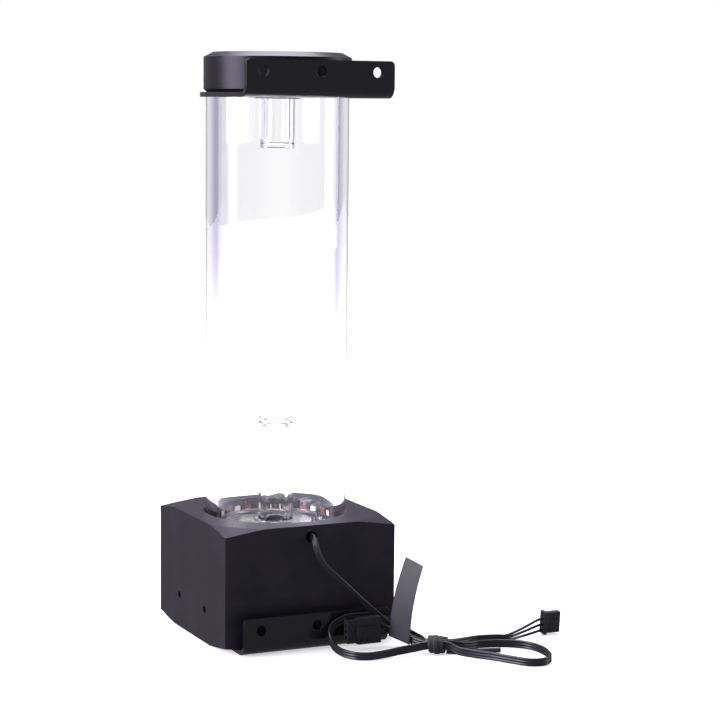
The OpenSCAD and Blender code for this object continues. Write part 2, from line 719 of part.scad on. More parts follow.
// The closed impeller: skirt down to the magnet, hub round the cup, back disc, vanes and shroud
module impeller() {
    vane_z = disc_z + disc_t;
    color([0.85, 0.85, 0.8]) union() {
        translate([0, 0, magnet_top]) ring(magnet_out - 0.1, magnet_in + 0.3, disc_z - magnet_top + eps);
        translate([0, 0, ball_z + 0.6]) ring(hub_r, cup_r + 0.02, disc_z - ball_z - 0.6);
        translate([0, 0, disc_z]) cylinder(r = impeller_r, h = disc_t);
        translate([0, 0, vane_z - eps]) linear_extrude(vane_h + 2 * eps)
            for (i = [0 : vane_count - 1]) rotate(i * 360 / vane_count) vane_plan();
        translate([0, 0, vane_z + vane_h]) ring(impeller_r, eye_r + 0.6, shroud_t);
    }
}

// The cable's flat section: an eight-sided strip, t across and w upright
function strip_section(t, w, c = 0.35) = [[t / 2, c - w / 2], [t / 2, w / 2 - c], [t / 2 - c, w / 2],
    [c - t / 2, w / 2], [-t / 2, w / 2 - c], [-t / 2, c - w / 2], [c - t / 2, -w / 2], [t / 2 - c, -w / 2]];
// A round wire's section
function wire_section(r) = [for (i = [0 : 7]) r * [cos(22.5 + 45 * i), sin(22.5 + 45 * i)]];
function unit(v) = v / norm(v);
function along(p, i) = unit(p[min(i + 1, len(p) - 1)] - p[max(i - 1, 0)]);
function across(t) = unit(cross(t, [0, 0, 1]));
function station(p, i, s) = let (t = along(p, i), a = across(t), u = cross(a, t))
    [for (q = s) p[i] + q[0] * a + q[1] * u];

// Sweeps a section along a route, with a flat cap at each end
module sweep(route, section) {
    n = len(route);
    m = len(section);
    points = [for (i = [0 : n - 1]) each station(route, i, section)];
    walls = [for (i = [0 : n - 2], j = [0 : m - 1]) let (k = (j + 1) % m)
        each [[i * m + j, i * m + k, (i + 1) * m + k], [i * m + j, (i + 1) * m + k, (i + 1) * m + j]]];
    start_cap = [for (j = [1 : m - 2]) [0, j + 1, j]];
    end_cap = [for (j = [1 : m - 2]) [(n - 1) * m, (n - 1) * m + j, (n - 1) * m + j + 1]];
    polyhedron(points, concat(walls, start_cap, end_cap), convexity = 10);
}

// The short captive stretch of cable inside the base's wall
module led_lead() {
    color([0.08, 0.08, 0.09]) translate([0, -half, cable_hole_z]) rotate([-90, 0, 0])
        linear_extrude(half - strip_r - 0.05) square([cable_t, cable_w], center = true);
}

module led_cable() {
    color([0.08, 0.08, 0.09]) sweep(cable_route, strip_section(cable_t, cable_w));
}

module branch_cable() {
    color([0.08, 0.08, 0.09]) sweep(branch_route, strip_section(cable_t, cable_w));
}

// The upward direction of a route's section at its point i
function rise(p, i) = let (t = along(p, i)) cross(across(t), t);

// Three wires that part from a flat cable's end at p and meet a housing's rear face at q
module fan(p, p_up, q, q_up, bend) {
    for (i = [-1 : 1]) {
        a = p + i * p_up;
        b = q + i * q_up;
        sweep([a, (a + b) / 2 + bend, b], wire_section(cable_t / 2 - 0.03));
    }
}

module plug_wires() {
    last = len(cable_route) - 1;
    color([0.08, 0.08, 0.09]) fan(cable_end + core_gap * along(cable_route, last), cable_t * rise(cable_route, last),
        plug_rear - pin_drop * plug_up, pin_step * plug_up, [0, 0, -0.9]);
}

module socket_wires() {
    color([0.08, 0.08, 0.09]) fan(branch_end - core_gap * along(branch_route, 0), cable_t * rise(branch_route, 0),
        socket_rear, [0, 0, pin_step], [0, 0.3, 0]);
}

// The band that ties the loops: a double wrap round the four runs of cable, and its tail
module cable_tie() {
    color([0.06, 0.06, 0.07]) {
        translate([tie_at[0], tie_at[1], 0]) rotate([0, 0, tie_turn]) rotate([90, 0, 90]) {
            translate([0, 0, -tie_len / 2]) tie_wrap(tie_len / 2 - 0.3, 0);
            translate([0, 0, -0.3]) tie_wrap(0.6, 0.6);
            translate([0, 0, 0.3]) tie_wrap(tie_len / 2 - 0.3, 0);
        }
        sweep(tail_route, strip_section(2, 1.5, 0.2));
    }
}

// One wrap of the band, drawn in section and extruded; inset thins it
module tie_wrap(l, inset) {
    w = tie_w - 2 * inset;
    h = 2 * tie_mid - 2 * inset;
    linear_extrude(l) translate([0, tie_mid]) difference() {
        union() {
            square([w - 5, h], center = true);
            square([w, h - 5], center = true);
            for (x = [-1, 1], y = [-1, 1]) translate([x * (w / 2 - 2.5), y * (h / 2 - 2.5)]) circle(r = 2.5, $fn = 32);
        }
        square([lane * 3 + cable_t + 0.4, cable_w + 0.3], center = true);
    }
}

// The bare flag on the branch: a thin strip that leans, bows and twists as it rises
function tag_mid(t) = tag_foot + [tag_lean * t - tag_bow * sin(180 * t), -1.5 * t, tag_h * t];
function tag_side(t) = let (a = tag_turn - tag_twist * t) tag_w / 2 * [cos(a), sin(a), -0.2];
function tag_face(t) = let (a = tag_turn - 90 - tag_twist * t) tag_t / 2 * [cos(a), sin(a), 0];
module cable_tag() {
    n = 10;
    corners = [[1, 1], [1, -1], [-1, -1], [-1, 1]];
    points = [for (i = [0 : n], c = corners) tag_mid(i / n) + c[0] * tag_side(i / n) + c[1] * tag_face(i / n)];
    walls = [for (i = [0 : n - 1], j = [0 : 3]) let (k = (j + 1) % 4)
        each [[i * 4 + j, (i + 1) * 4 + k, i * 4 + k], [i * 4 + j, (i + 1) * 4 + j, (i + 1) * 4 + k]]];
    color([0.09, 0.09, 0.1]) polyhedron(points, concat(walls, [[0, 1, 2], [0, 2, 3],
        [n * 4, n * 4 + 2, n * 4 + 1], [n * 4, n * 4 + 3, n * 4 + 2]]), convexity = 4);
}

// Puts a connector's own frame (rear face at x = 0, width up) at its place
module at_plug() {
    translate(plug_rear) rotate([plug_lean, 0, plug_turn]) translate([0, 0, -plug_w / 2]) children();
}

// The three-pin plug at the cable's end: a ribbed flange and a slimmer shroud
module plug_housing() {
    shroud_t = plug_t - 2 * plug_inset;
    color([0.1, 0.1, 0.11]) at_plug() difference() {
        union() {
            translate([0.2, -plug_t / 2, 0]) cube([plug_flange, plug_t, plug_w]);
            translate([plug_flange, -shroud_t / 2, 0.4]) cube([plug_len - plug_flange, shroud_t, plug_w - 0.8]);
        }
        // the mouth, and the latch windows in both sides
        translate([plug_cavity, -shroud_t / 2 + 0.55, 1.1]) cube([plug_len, shroud_t - 1.1, plug_w - 2.2]);
        for (y = [-1, 1]) translate([3.4, y * shroud_t / 2 - 0.25, plug_w - 3.4]) cube([2.6, 0.5, 0.8]);
    }
}

module plug_contacts() {
    color([0.8, 0.7, 0.45]) at_plug() for (i = [-1 : 1])
        translate([plug_cavity, -0.35, plug_w / 2 - pin_drop + i * pin_step - 0.35])
            cube([plug_len - plug_cavity - 1, 0.7, 0.7]);
}

module at_socket() {
    translate([socket_rear[0], socket_rear[1], 0]) rotate([0, 0, 180]) children();
}

// The female housing on the branch: a block, a slotted front and a latch
module socket_housing() {
    z0 = socket_rear[2] - socket_w / 2;
    color([0.1, 0.1, 0.11]) at_socket() difference() {
        union() {
            translate([0.2, -socket_t / 2, z0]) cube([socket_len - 5, socket_t, socket_w]);
            translate([socket_len - 6, -socket_t / 2 + 0.5, z0 + 0.6]) cube([5.8, socket_t - 1, socket_w - 1.2]);
            translate([3, socket_t / 2 - eps, z0 + 3.4]) cube([8.5, 0.9, 4]);
        }
        for (i = [-1 : 1]) translate([4, -0.75, socket_rear[2] + i * pin_step - 0.75]) cube([socket_len, 1.5, 1.5]);
        translate([socket_len - 3.4, -socket_t, z0 - 1]) cube([1.2, socket_t / 2 + 1, socket_w + 2]);
        for (i = [0 : 1]) translate([6 + i * 2.6, socket_t / 2 - 0.4, z0 + 1]) cube([1.1, 1, 1.6]);
    }
}

module socket_contacts() {
    color([0.8, 0.7, 0.45]) at_socket() for (i = [-1 : 1])
        translate([4, -0.55, socket_rear[2] + i * pin_step - 0.55]) cube([6, 1.1, 1.1]);
}

base_block();
floor_plate();
floor_seal();
tube_seal_lower();
reservoir_tube();
riser_tube();
led_strip();
led_packages();
led_pads();
led_lead();
cap();
drop_tube();
tube_seal_upper();
fill_plug();
fill_plug_seal();
upper_bracket();
lower_bracket();
lower_bracket_screws();
pump_housing();
pump_cover();
pump_screws();
pump_seal();
pump_board();
stator_core();
stator_coils();
bearing_ball();
bearing_cup();
rotor_magnet();
impeller();
led_cable();
branch_cable();
cable_tie();
cable_tag();
plug_housing();
plug_contacts();
plug_wires();
socket_housing();
socket_contacts();
socket_wires();
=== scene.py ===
from math import sin, cos, pi, radians
import bpy
import bmesh
from mathutils import Matrix, Vector


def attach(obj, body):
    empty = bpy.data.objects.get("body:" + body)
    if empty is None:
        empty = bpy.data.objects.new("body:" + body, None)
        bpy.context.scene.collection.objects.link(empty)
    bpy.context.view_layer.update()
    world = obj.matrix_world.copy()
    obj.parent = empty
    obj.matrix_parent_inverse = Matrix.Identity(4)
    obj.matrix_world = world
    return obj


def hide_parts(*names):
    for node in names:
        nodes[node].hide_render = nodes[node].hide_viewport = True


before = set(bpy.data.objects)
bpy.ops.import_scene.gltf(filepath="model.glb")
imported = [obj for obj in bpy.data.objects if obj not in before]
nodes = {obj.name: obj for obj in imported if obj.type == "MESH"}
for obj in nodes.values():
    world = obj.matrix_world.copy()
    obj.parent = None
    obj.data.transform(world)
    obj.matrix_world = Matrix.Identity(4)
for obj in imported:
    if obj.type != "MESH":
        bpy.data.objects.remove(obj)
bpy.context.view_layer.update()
mm = 0.001
print("frame loaded, pieces in it:", len(nodes))


# small helpers
def hexColor(code, alpha=1.0):
    parts = [int(code[i:i + 2], 16) / 255 for i in (1, 3, 5)]
    linear = [c / 12.92 if c <= 0.04045 else ((c + 0.055) / 1.055) ** 2.4 for c in parts]
    return (*linear, alpha)


def addNode(tree, kind, values=None, links=None, **settings):
    node = tree.nodes.new("ShaderNode" + kind)
    for name, value in settings.items():
        setattr(node, name, value)
    for name, value in (values or {}).items():
        node.inputs[name].default_value = value
    for name, source in (links or {}).items():
        tree.links.new(source, node.inputs[name])
    return node


def deselect():
    if bpy.context.object and bpy.context.object.mode != "OBJECT":
        bpy.ops.object.mode_set(mode="OBJECT")
    bpy.ops.object.select_all(action="DESELECT")


def pick(*objects):
    deselect()
    for o in objects:
        o.select_set(True)
    bpy.context.view_layer.objects.active = objects[0]


def meshPiece(name, points, faces, smooth=True):
    mesh = bpy.data.meshes.new(name)
    mesh.from_pydata([tuple(p) for p in points], [], faces)
    mesh.update()
    if smooth:
        mesh.polygons.foreach_set("use_smooth", [True] * len(mesh.polygons))
    piece = bpy.data.objects.new(name, mesh)
    bpy.context.collection.objects.link(piece)
    return piece


# camera
cameraView = {"place": (-0.3509, -0.8206, 0.2237), "yaw": 0.444, "pitch": 0.1205, "roll": 0.0104,
              "lens": 105.7}


def addCamera(view):
    data = bpy.data.cameras.new("camera")
    data.lens, data.sensor_width = view["lens"], 36
    data.clip_start, data.clip_end = 0.05, 20
    camera = bpy.data.objects.new("camera", data)
    bpy.context.collection.objects.link(camera)
    yaw, pitch, roll = view["yaw"], view["pitch"], view["roll"]
    forward = Vector((sin(yaw) * cos(pitch), cos(yaw) * cos(pitch), -sin(pitch)))
    right = Vector((cos(yaw), -sin(yaw), 0))
    up = right.cross(forward)
    rightRolled = right * cos(roll) + up * sin(roll)
    upRolled = -right * sin(roll) + up * cos(roll)
    turn = Matrix((rightRolled, upRolled, -forward)).transposed()
    camera.matrix_world = Matrix.Translation(view["place"]) @ turn.to_4x4()
    bpy.context.scene.camera = camera


addCamera(cameraView)

# cords
cable = {"thick": 1.2, "wide": 3.45, "cores": 3}  # three cores side by side, mm
tie = {"at": (43, -69), "turn": -25.5, "long": 8.4, "mid": 3.8, "lane": 1.5}


def inTie(side, lane):  # a point of a lane at one end of the tie, mm
    turn = radians(tie["turn"])
    along, off = side * tie["long"] / 2, lane * tie["lane"]
    return (tie["at"][0] + along * cos(turn) - off * sin(turn),
            tie["at"][1] + along * sin(turn) + off * cos(turn), tie["mid"])


cableRoute = [
    # down the rear face, into the tie
    (0, -38.25, 46.1), (0, -40, 46.1), (0, -41.65, 44.6), (0.2, -42.8, 42), (1, -44, 38.8),
    (2.8, -45.3, 35.2), (6.4, -46.5, 31.6), (12.4, -47.5, 25.9), (19, -48, 19.6), (25, -48.5, 13.8),
    (29, -49.4, 10), (32.2, -51.4, 7.3), (35, -55.2, 5.2), (37.2, -60, 4.1), (38.6, -64, 3.8),
    inTie(-1, 0.5), inTie(1, 0.5),
    # right loop
    (51.6, -72, 3.1), (57, -71, 2.3), (62.5, -69.4, 1.9), (69, -70.4, 1.8), (76, -73.8, 1.8),
    (80.6, -78.8, 1.8), (82.2, -85.5, 1.8), (81.4, -93, 1.8), (78.4, -100.2, 1.8), (73.4, -103.8, 1.8),
    (68, -102.6, 1.8), (63.4, -96.4, 1.8), (58.4, -88.2, 1.8), (53, -81.4, 1.8), (49.2, -77.2, 2.2),
    inTie(1, -1.5), inTie(-1, -1.5),
    # left loop, which rises against the lower bracket
    (33.4, -68.2, 3.1), (27.4, -67.2, 2.3), (20, -67.8, 1.8), (12.6, -68.6, 1.8), (7.6, -66, 1.8),
    (5.2, -61, 1.8), (4.4, -55, 2.1), (4.2, -50.4, 3.4), (4.5, -47.4, 6.2), (6.2, -46.3, 9.6),
    (10.6, -46.1, 12), (17, -46.1, 12.7), (24, -46.2, 12.2), (30, -47.2, 10.2), (35, -50.8, 7.4),
    (38.2, -55.6, 5.4), (40, -60.8, 4.3), inTie(-1, 1.5), inTie(1, 1.5),
    # out to the plug
    (53, -66.8, 3), (59, -63.2, 2.1), (66, -61.4, 1.8), (71.8, -62.3, 1.8), (76, -63.8, 1.8)]
branchRoute = [
    (29.2, -52.9, 7.2), (31.2, -55, 6.3), (33.4, -58.4, 5.2), (35.5, -62.2, 4.3), (37.2, -65.3, 3.9),
    inTie(-1, -0.5), inTie(0.4, -0.5)]
tailRoute = [(46.2, -71.2, 0.95), (49.5, -73, 0.85), (53, -74.6, 0.85), (58, -75.1, 0.85), (63, -76, 0.85),
             (68, -77.6, 0.85)]


def smoothRoute(route, step=0.9):  # even points, mm, on a smooth curve through the route
    points = [Vector(p) for p in route]
    ends = [2 * points[0] - points[1], *points, 2 * points[-1] - points[-2]]
    dense = []
    for i in range(1, len(ends) - 2):
        p0, p1, p2, p3 = ends[i - 1:i + 3]
        knots = [0.0]
        for a, b in ((p0, p1), (p1, p2), (p2, p3)):
            knots.append(knots[-1] + max((b - a).length, 1e-6) ** 0.5)
        t0, t1, t2, t3 = knots
        for k in range(12):
            t = t1 + (t2 - t1) * k / 12
            a1 = p0.lerp(p1, (t - t0) / (t1 - t0))
            a2 = p1.lerp(p2, (t - t1) / (t2 - t1))
            a3 = p2.lerp(p3, (t - t2) / (t3 - t2))
            b1, b2 = a1.lerp(a2, (t - t0) / (t2 - t0)), a2.lerp(a3, (t - t1) / (t3 - t1))
            dense.append(b1.lerp(b2, (t - t1) / (t2 - t1)))
    dense.append(points[-1])
    out, left = [dense[0]], step
    for a, b in zip(dense, dense[1:]):
        gap = (b - a).length
        while gap >= left:
            a = a.lerp(b, left / gap)
            out.append(a.copy())
            gap, left = (b - a).length, step
        left -= gap
    if (out[-1] - dense[-1]).length > step / 3:
        out.append(dense[-1])
    else:
        out[-1] = dense[-1]
    return out


def sweepMesh(name, path, section, hang=None):  # section: points (across, up), mm; path in mm
    points, faces, count, size, run = [], [], len(path), len(section), 0.0
    for i, p in enumerate(path):
        along = (path[min(i + 1, count - 1)] - path[max(i - 1, 0)]).normalized()
        across = along.cross(Vector((0, 0, 1))).normalized()
        if hang:  # the first stretch hangs edge-on, then turns flat
            run += (p - path[max(i - 1, 0)]).length
            side = Vector(hang["side"])
            side = (side - along * side.dot(along)).normalized()
            share = min(1, max(0, (hang["flat"] - run) / (hang["flat"] - hang["turn"])))
            across = (side * share + across * (1 - share)).normalized()
        up = across.cross(along)
        points += [(p + across * a + up * b) * mm for a, b in section]
    for i in range(count - 1):
        for j in range(size):
            k = (j + 1) % size
            faces.append((i * size + j, i * size + k, (i + 1) * size + k, (i + 1) * size + j))
    piece = meshPiece(name, points, faces)
    mesh = bmesh.new()
    mesh.from_mesh(piece.data)
    mesh.verts.ensure_lookup_table()
    for ring in (list(range(size))[::-1], list(range((count - 1) * size, count * size))):
        mesh.faces.new([mesh.verts[i] for i in ring])
    bmesh.ops.recalc_face_normals(mesh, faces=mesh.faces)
    mesh.to_mesh(piece.data)
    mesh.free()
    return piece


def flatCable(thick, wide, cores, around=9):  # the outline of round cores side by side
    r, pitch = thick / 2, (wide - thick) / (cores - 1)
    half = 0.55 * pi / 2 if cores > 1 else pi / 2
    outline = []
    for side in (1, -1):
        for c in range(cores):
            mid = side * (c - (cores - 1) / 2) * pitch
            low = -pi / 2 if c == 0 else -half
            high = pi / 2 if c == cores - 1 else half
            for k in range(around):
                a = low + (high - low) * k / (around - 1)
                outline.append((side * r * cos(a), mid + side * r * sin(a)))
    return outline


coreSection = flatCable(cable["thick"], cable["wide"], cable["cores"])
cablePath = smoothRoute(cableRoute)
branchPath = smoothRoute(branchRoute)
hanging = {"side": (-1, -0.2, 0), "turn": 35, "flat": 65}  # mm along the run
lightCable = sweepMesh("lightCable", cablePath, coreSection, hanging)
branchCable = sweepMesh("branchCable", branchPath, coreSection)
print("cable runs swept")

# the three cores part before each connector
fan = {"radius": 0.57, "around": 12, "pinStep": 2.5, "inCable": 0.6, "leave": 2.5, "arrive": 2.2,
       "lift": 0.1, "spread": 0.25, "step": 0.8}
plugRear, socketRear = (98.5, -58.83, 4.4), (25, -51.6, 8.2)  # where the middle wire enters, mm
wireTurns = [2 * pi * k / fan["around"] for k in range(fan["around"])]
wireSection = [(fan["radius"] * cos(a), fan["radius"] * sin(a)) for a in wireTurns]


def coreFan(name, end, before, rear, sag):
    end, before, rear = Vector(end), Vector(before), Vector(rear)
    lead = (end - before).normalized()
    wires = []
    for i in (-1, 0, 1):
        a = end - lead * fan["inCable"] + Vector((0, 0, i * (cable["wide"] - cable["thick"]) / 2))
        b = rear + Vector((0, 0, i * fan["pinStep"]))
        near = a + lead * fan["leave"]
        far = b + (a - b).normalized() * fan["arrive"] + Vector((0, 0, fan["lift"] * i))
        middle = (a + b) / 2 + Vector(sag) * (1 + fan["spread"] * i)
        wires.append(sweepMesh(f"{name}{i + 2}", smoothRoute([a, near, middle, far, b], fan["step"]),
                               wireSection))
    pick(*wires)
    bpy.ops.object.join()
    wires[0].name = name
    return wires[0]


plugWires = coreFan("plugWires", cableRoute[-1], cableRoute[-2], plugRear, (0, 0, -0.7))
socketWires = coreFan("socketWires", branchRoute[0], branchRoute[1], socketRear, (0, 0.15, 0))


# tie
tieBand = {"turns": 3, "wide": 2.5, "thick": 1.25, "halfWide": 4.2, "halfHigh": 3.1, "lean": 0.5,
           "start": 0.7, "square": 2.4, "hug": 0.92, "steps": 40, "tailWide": 2.0, "tailThick": 1.5}


def addTie(spec):
    turn = radians(tie["turn"])
    along, off, up = Vector((cos(turn), sin(turn), 0)), Vector((-sin(turn), cos(turn), 0)), Vector((0, 0, 1))
    middle = Vector((tie["at"][0], tie["at"][1], tie["mid"]))
    steps, square, section = spec["steps"], spec["square"], []
    for k in range(16):  # a flat band with round edges
        a = 2 * pi * k / 16
        section.append((spec["wide"] / 2 * (abs(cos(a)) ** 0.6) * (1 if cos(a) > 0 else -1),
                        spec["thick"] / 2 * (abs(sin(a)) ** 0.8) * (1 if sin(a) > 0 else -1)))
    points, faces, total, size = [], [], spec["turns"] * steps, len(section)
    span = tie["long"] - spec["wide"]
    for i in range(total + 1):
        a = 2 * pi * i / steps + spec["start"]
        share = i / total
        bulge = 1 + 0.05 * sin(5 * pi * share) + (0.1 if 0.36 < share < 0.62 else 0)
        c, s = cos(a), sin(a)
        flat = (abs(c) ** square + abs(s) ** square) ** (-1 / square)  # a squarish loop
        out = off * c + up * s
        seat = middle + along * ((share - 0.5) * span + spec["lean"] * cos(a))
        centre = seat + (off * c * spec["halfWide"] + up * s * spec["halfHigh"]) * flat * bulge * spec["hug"]
        points += [(centre + along * w + out * t) * mm for w, t in section]
    for i in range(total):
        for j in range(size):
            k = (j + 1) % size
            faces.append((i * size + j, i * size + k, (i + 1) * size + k, (i + 1) * size + j))
    faces += [tuple(range(size))[::-1], tuple(range(total * size, (total + 1) * size))]
    wraps = meshPiece("tieWraps", points, faces)
    corners = ((1, 0.6), (0.9, 1), (-0.9, 1), (-1, 0.6), (-1, -0.6), (-0.9, -1), (0.9, -1), (1, -0.6))
    tailSection = [(spec["tailWide"] / 2 * a, spec["tailThick"] / 2 * b) for a, b in corners]
    tail = sweepMesh("tieTail", smoothRoute(tailRoute, 0.8), tailSection)
    pick(wraps, tail)
    bpy.ops.object.join()
    bpy.ops.object.mode_set(mode="EDIT")
    bpy.ops.mesh.select_all(action="SELECT")
    bpy.ops.mesh.normals_make_consistent(inside=False)
    bpy.ops.object.mode_set(mode="OBJECT")
    wraps.name = "cableTie"
    return wraps


cableTie = addTie(tieBand)

# flag label
flag = {"foot": (31.2, -57.6, 3.9), "high": 33.1, "wide": 10.6, "thick": 0.35, "lean": 6.0, "back": 1.5,
        "bow": 1.3, "curl": 0.12, "turn": -62, "twist": 12, "tilt": 0.2, "edge": 0.12, "grid": (12, 40)}


def addFlag(spec):
    bpy.ops.object.select_all(action="DESELECT")
    bpy.ops.mesh.primitive_grid_add(x_subdivisions=spec["grid"][0], y_subdivisions=spec["grid"][1], size=2)
    label = bpy.context.object
    label.name = "flagLabel"
    for v in label.data.vertices:
        s, t = v.co.x, (v.co.y + 1) / 2
        turn = radians(spec["turn"] - spec["twist"] * t)
        drift = Vector((spec["lean"] * t - spec["bow"] * sin(pi * t), -spec["back"] * t, spec["high"] * t))
        middle = Vector(spec["foot"]) + drift
        curl = spec["curl"] * s * s * sin(3 * t)
        out = Vector((cos(turn - pi / 2), sin(turn - pi / 2), 0))
        across = Vector((cos(turn), sin(turn), -spec["tilt"]))
        v.co = (middle + across * (spec["wide"] / 2 * s) + out * curl) * mm
    shell = label.modifiers.new("film", "SOLIDIFY")
    shell.thickness, shell.offset = spec["thick"] * mm, 0
    soft = label.modifiers.new("edge", "BEVEL")
    soft.width, soft.segments = spec["edge"] * mm, 2
    pick(label)
    bpy.ops.object.modifier_apply(modifier="film")
    bpy.ops.object.modifier_apply(modifier="edge")
    bpy.ops.object.shade_smooth_by_angle(angle=radians(40))
    return label


flagLabel = addFlag(flag)
print("cable, tie and label made")

# materials
def newMaterial(name):
    material = bpy.data.materials.new(name)
    material.use_nodes = True
    tree = material.node_tree
    tree.nodes.clear()
    output = addNode(tree, "OutputMaterial")
    place = addNode(tree, "TexCoord").outputs["Object"]
    return material, tree, output, place


def grain(tree, place, size, detail=3.0, stretch=(1, 1, 1)):  # noise whose blobs are about size mm
    mapped = addNode(tree, "Mapping", {"Scale": stretch}, {"Vector": place}).outputs["Vector"]
    return addNode(tree, "TexNoise", {"Scale": 1 / (size * mm), "Detail": detail, "Roughness": 0.6},
                   {"Vector": mapped}).outputs["Fac"]


def fromAxis(tree, place):  # a point's distance from the upright axis, and its height
    parts = addNode(tree, "SeparateXYZ", None, {"Vector": place})
    flat = {"X": parts.outputs["X"], "Y": parts.outputs["Y"]}
    level = addNode(tree, "CombineXYZ", None, flat).outputs["Vector"]
    radius = addNode(tree, "VectorMath", None, {0: level}, operation="LENGTH").outputs["Value"]
    return radius, parts.outputs["Z"]


noiseRange = {"From Min": 0.3, "From Max": 0.7}  # noise seldom leaves this range
plasticIor = 1.5


# One entry per finish. Colours are sRGB, sizes are mm, bump is how deep the grain is in mm.
finishes = {
    # powder coat: smooth gloss black with a faint orange peel, which breaks up reflections
    "powderCoatBlack": {"dark": "#0f0e13", "light": "#16151a", "rough": (0.14, 0.22), "grain": 1.6,
                        "bump": 0.006, "edge": 0.35},
    # nylon, moulded: a dull black with a fine spark texture
    "nylonMoulded": {"dark": "#16161b", "light": "#202027", "rough": (0.42, 0.55), "grain": 0.5,
                     "bump": 0.01, "edge": 0.2},
    # glass-filled nylon of the pump, moulded: greyer, with flow marks
    "glassNylonMoulded": {"dark": "#15151a", "light": "#22222a", "rough": (0.5, 0.62), "grain": 2.4,
                          "bump": 0.01, "edge": 0.3},
    # nitrile rubber, moulded: matt and even
    "nitrileMoulded": {"dark": "#0f0f10", "light": "#171718", "rough": (0.6, 0.75), "grain": 0.8,
                       "bump": 0.004},
    # PVC cable jacket, extruded: semi-gloss with draw lines along it
    "cableVinyl": {"dark": "#121217", "light": "#1b1b22", "rough": (0.3, 0.42), "grain": 1.5, "bump": 0.01},
    # rubbery tie band, extruded: matt, finely ribbed
    "tieRubber": {"dark": "#19191d", "light": "#27272c", "rough": (0.6, 0.75), "grain": 0.5, "bump": 0.03},
    # vinyl label film: even charcoal, slightly satin
    "labelVinyl": {"dark": "#28282c", "light": "#2f2f34", "rough": (0.45, 0.55), "grain": 0.9,
                   "bump": 0.004},
    # die-cast aluminium cover: pale grey with a fine cast skin
    "castAluminium": {"dark": "#6c6c70", "light": "#85858a", "rough": (0.38, 0.52), "grain": 0.9,
                      "bump": 0.015, "metal": 0.9, "edge": 0.25},
    # zinc-plated steel screws: mid grey, slightly blotchy
    "zincSteel": {"dark": "#77777c", "light": "#97979c", "rough": (0.28, 0.4), "grain": 0.7, "bump": 0.004,
                  "metal": 1.0, "edge": 0.15},
    # stacked electrical steel: laminations show as lines across the stack
    "laminatedSteel": {"dark": "#55565a", "light": "#85868b", "rough": (0.35, 0.5), "grain": 0.6,
                       "bump": 0.02, "metal": 1.0, "stretch": (0.05, 0.05, 3.5)},
    # enamelled copper wire: glossy, wound in rows
    "enamelCopper": {"dark": "#7c3f20", "light": "#b8683a", "rough": (0.22, 0.34), "grain": 0.5,
                     "bump": 0.05, "metal": 1.0, "stretch": (1, 1, 3)},
    # bare copper pads: warm orange with finger-dull spots
    "bareCopper": {"dark": "#a95c33", "light": "#e2936a", "rough": (0.25, 0.42), "grain": 1.2, "bump": 0.004,
                   "metal": 0.85},
    # ferrite ring, pressed: dark grey, dull
    "ferritePressed": {"dark": "#2f2f33", "light": "#3f3f44", "rough": (0.5, 0.65), "grain": 0.4,
                       "bump": 0.01, "metal": 0.3},
    # zirconia ball, polished: cream white and glossy
    "zirconiaPolished": {"dark": "#e2dfd6", "light": "#efece4", "rough": (0.06, 0.1), "grain": 2.0,
                         "bump": 0.0},
    # circuit board lacquer: green with darker tracks under it
    "boardLacquer": {"dark": "#0d3a24", "light": "#1c5a3a", "rough": (0.25, 0.36), "grain": 1.8,
                     "bump": 0.01},
    # polyimide strip: brown film with darker tracks
    "stripFilm": {"dark": "#171210", "light": "#3a2a20", "rough": (0.3, 0.42), "grain": 1.4, "bump": 0.01,
                  "stretch": (1, 1, 0.5)},
    # light package, moulded white resin
    "packageResin": {"dark": "#dcd9cc", "light": "#f3f1e8", "rough": (0.3, 0.4), "grain": 0.8, "bump": 0.003,
                     "edge": 0.1},
    # tinned phosphor bronze contacts
    "tinnedBronze": {"dark": "#a9a193", "light": "#cfc8ba", "rough": (0.25, 0.38), "grain": 0.6,
                     "bump": 0.004, "metal": 1.0},
}
made = {}


def finish(name):
    if name in made:
        return made[name]
    spec = finishes[name]
    material, tree, output, place = newMaterial(name)
    fac = grain(tree, place, spec["grain"], stretch=spec.get("stretch", (1, 1, 1)))
    share = addNode(tree, "MapRange", noiseRange, {"Value": fac}).outputs["Result"]
    tone = addNode(tree, "Mix", {6: hexColor(spec["dark"]), 7: hexColor(spec["light"])}, {0: share},
                   data_type="RGBA").outputs[2]
    smooth, dull = spec["rough"]
    rough = addNode(tree, "MapRange", {**noiseRange, "To Min": smooth, "To Max": dull}, {"Value": fac})
    shader = addNode(tree, "BsdfPrincipled", {"Metallic": spec.get("metal", 0.0), "IOR": plasticIor},
                     {"Base Color": tone, "Roughness": rough.outputs["Result"]})
    normal = None
    if "edge" in spec:  # the small radius that every real edge has
        normal = addNode(tree, "Bevel", {"Radius": spec["edge"] * mm}, samples=4).outputs["Normal"]
    if spec["bump"]:
        bump = addNode(tree, "Bump", {"Strength": 1.0, "Distance": spec["bump"] * mm}, {"Height": fac})
        if normal:
            tree.links.new(normal, bump.inputs["Normal"])
        normal = bump.outputs["Normal"]
    if normal:
        tree.links.new(normal, shader.inputs["Normal"])
    tree.links.new(shader.outputs["BSDF"], output.inputs["Surface"])
    made[name] = material
    return material


# black anodised aluminium, turned and finely blasted: turning marks on the flat tops throw a fan of light
anodised = {"dark": "#28252e", "light": "#332f3a", "rough": (0.4, 0.5), "metal": 0.55, "specular": 0.35,
            "step": 0.45, "blast": 0.35, "cloud": 14, "depth": 0.006, "edge": 0.3}


